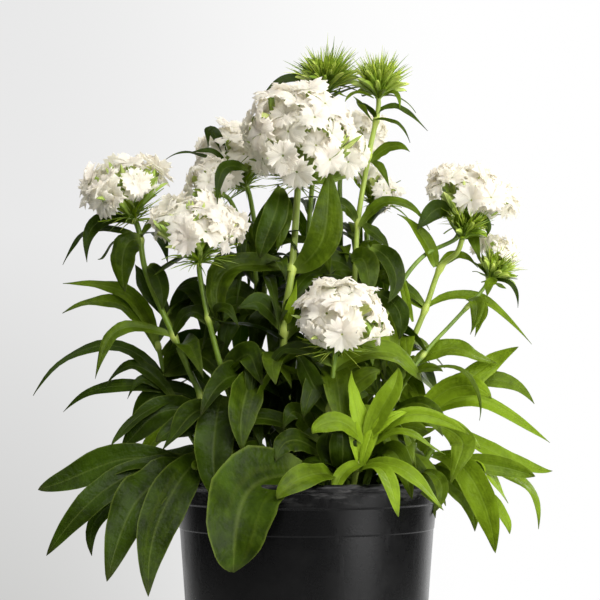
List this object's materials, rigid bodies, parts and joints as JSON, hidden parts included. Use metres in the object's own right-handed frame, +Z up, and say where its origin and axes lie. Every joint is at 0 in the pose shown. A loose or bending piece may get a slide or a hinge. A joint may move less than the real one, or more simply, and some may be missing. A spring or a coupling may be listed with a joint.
{
  "type": "potted dianthus",
  "caption": "Sweet william in flower in a round black nursery pot: clusters of white fringed flowers on leafy upright stems above arching lance-shaped leaves.",
  "frame": {"origin": "centre of the pot's foot, on the surface that the pot stands on", "axes": "+Z up, the fullest side of the plant towards -Y, the plant's widest spread along X"},
  "size_m": [0.3209, 0.2183, 0.4383],
  "materials": {
    "black_plastic": "satin",
    "soil": "matte",
    "stem_green": "satin",
    "leaf_green": "satin",
    "petal_white": "matte",
    "bud_green": "matte"
  },
  "bodies": {
    "root": {"bloom_back_left": "petal_white", "bloom_back_right": "petal_white", "bloom_centre": "petal_white", "bloom_front": "petal_white", "bloom_left": "petal_white", "bloom_low_left": "petal_white", "bloom_low_right": "petal_white", "bloom_right": "petal_white", "bloom_second_left": "petal_white", "buds_far_right": "bud_green", "buds_right": "bud_green", "buds_top_left": "bud_green", "buds_top_right": "bud_green", "leaf_back_left_rosette": "leaf_green", "leaf_back_right_rosette": "leaf_green", "leaf_far_right": "leaf_green", "leaf_front_rosette": "leaf_green", "leaf_left_rosette_front": "leaf_green", "leaf_left_rosette_side": "leaf_green", "leaf_left_shoot_low": "leaf_green", "leaf_pair_centre_joint": "leaf_green", "leaf_pair_centre_low": "leaf_green", "leaf_pair_front_shoot": "leaf_green", "leaf_pair_left_joint": "leaf_green", "leaf_pair_left_shoot_middle": "leaf_green", "leaf_pair_left_shoot_top": "leaf_green", "leaf_pair_left_top": "leaf_green", "leaf_pair_low_left": "leaf_green", "leaf_pair_right_light": "leaf_green", "leaf_pair_right_shoot_low": "leaf_green", "leaf_pair_right_shoot_top": "leaf_green", "leaf_pair_right_top": "leaf_green", "leaf_pair_top_left": "leaf_green", "leaf_pair_top_right_high": "leaf_green", "leaf_pair_top_right_middle": "leaf_green", "leaf_right_rosette_front": "leaf_green", "leaf_right_rosette_side": "leaf_green", "pot": "black_plastic", "potting_soil": "soil", "stem_back_left": "stem_green", "stem_back_left_rosette": "stem_green", "stem_back_right": "stem_green", "stem_back_right_rosette": "stem_green", "stem_centre": "stem_green", "stem_far_right": "stem_green", "stem_front": "stem_green", "stem_front_rosette": "stem_green", "stem_front_shoot": "stem_green", "stem_left": "stem_green", "stem_left_rosette": "stem_green", "stem_left_shoot": "stem_green", "stem_low_left": "stem_green", "stem_low_right": "stem_green", "stem_right": "stem_green", "stem_right_light": "stem_green", "stem_right_rosette": "stem_green", "stem_right_shoot": "stem_green", "stem_second_left": "stem_green", "stem_top_left": "stem_green", "stem_top_right": "stem_green"}
  },
  "joints": []
}
